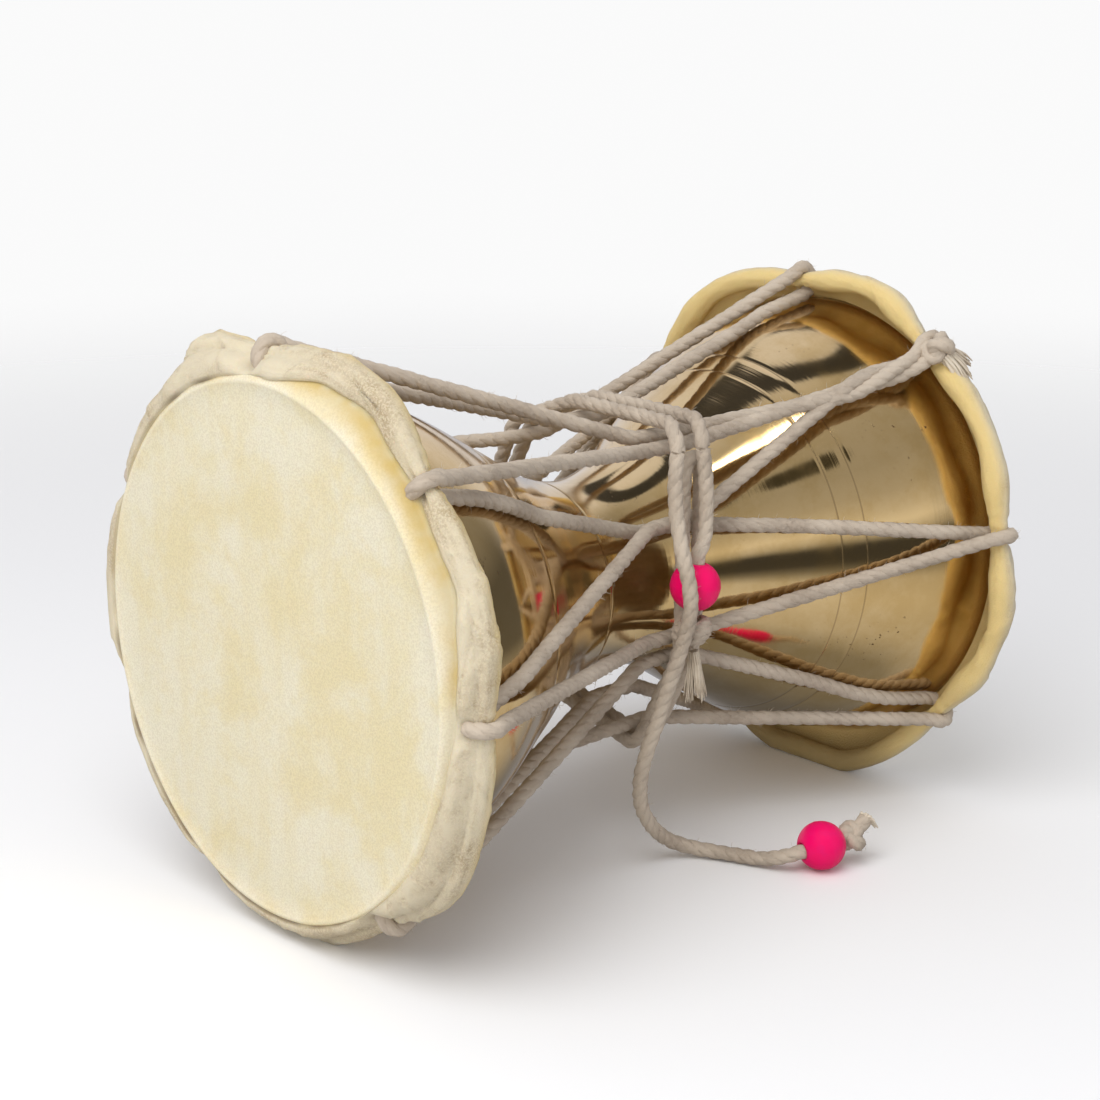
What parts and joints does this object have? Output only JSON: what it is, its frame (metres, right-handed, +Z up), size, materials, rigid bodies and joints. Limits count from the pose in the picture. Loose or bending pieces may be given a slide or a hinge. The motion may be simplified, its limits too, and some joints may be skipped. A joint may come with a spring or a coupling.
{
  "type": "hand drum",
  "caption": "Hourglass hand drum of polished brass with laced skin heads, a wound waist and striker beads on free cords.",
  "frame": {"origin": "on the surface the drum lies on, under the middle of the drum without its free cords", "axes": "+X along the drum's axis from the near head to the far head, +Z up, -Y towards the side the free cords hang on"},
  "size_m": [0.1918, 0.143, 0.1412],
  "materials": {
    "polished_brass": "mirror polished, with fine turning lines",
    "goat_skin": "matt raw skin",
    "cotton_cord": "twisted cotton",
    "pink_plastic": "glossy"
  },
  "bodies": {
    "root": {"brass_shell": "polished_brass", "near_drumhead": "goat_skin", "far_drumhead": "goat_skin", "lacing_cord": "cotton_cord", "waist_cord": "cotton_cord", "striker_cord_short": "cotton_cord", "striker_cord_long": "cotton_cord", "striker_knot_short": "cotton_cord", "striker_knot_long": "cotton_cord", "striker_bead_short": "pink_plastic", "striker_bead_long": "pink_plastic"}
  },
  "joints": []
}
